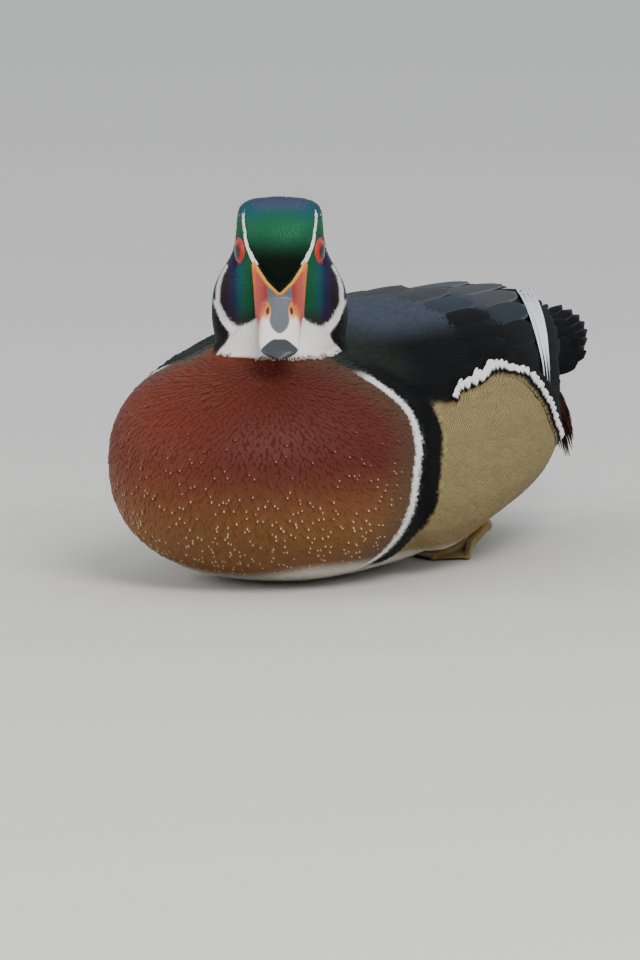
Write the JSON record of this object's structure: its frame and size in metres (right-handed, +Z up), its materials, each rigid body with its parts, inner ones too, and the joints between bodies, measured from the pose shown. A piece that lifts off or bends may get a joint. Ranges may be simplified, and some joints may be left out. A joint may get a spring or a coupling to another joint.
{
  "type": "male wood duck",
  "caption": "Life-size wood duck drake resting on its belly, neck drawn in, head turned to its left.",
  "frame": {"origin": "centre of the belly's flat, at floor level", "axes": "+Z up, +Y towards the tail, so the bird faces -Y and its left side is +X"},
  "size_m": [0.15, 0.337, 0.168],
  "materials": {
    "breast_feathers": "matte",
    "dark_feathers": "satin",
    "flank_feathers": "matte",
    "head_feathers": "satin",
    "bill": "satin",
    "eye": "wet",
    "eyelid": "satin",
    "leg": "satin"
  },
  "bodies": {
    "root": {"breast": "breast_feathers", "torso": "dark_feathers", "head": "head_feathers", "neck": "dark_feathers", "crest": "head_feathers", "bill_upper": "bill", "bill_lower": "bill", "eye_left": "eye", "eye_right": "eye", "eyelid_left": "eyelid", "eyelid_right": "eyelid", "wing_left": "dark_feathers", "wing_right": "dark_feathers", "flank_left": "flank_feathers", "flank_right": "flank_feathers", "plumes_left": "breast_feathers", "plumes_right": "breast_feathers", "leg_left": "leg", "leg_right": "leg", "tail": "dark_feathers"}
  },
  "joints": []
}
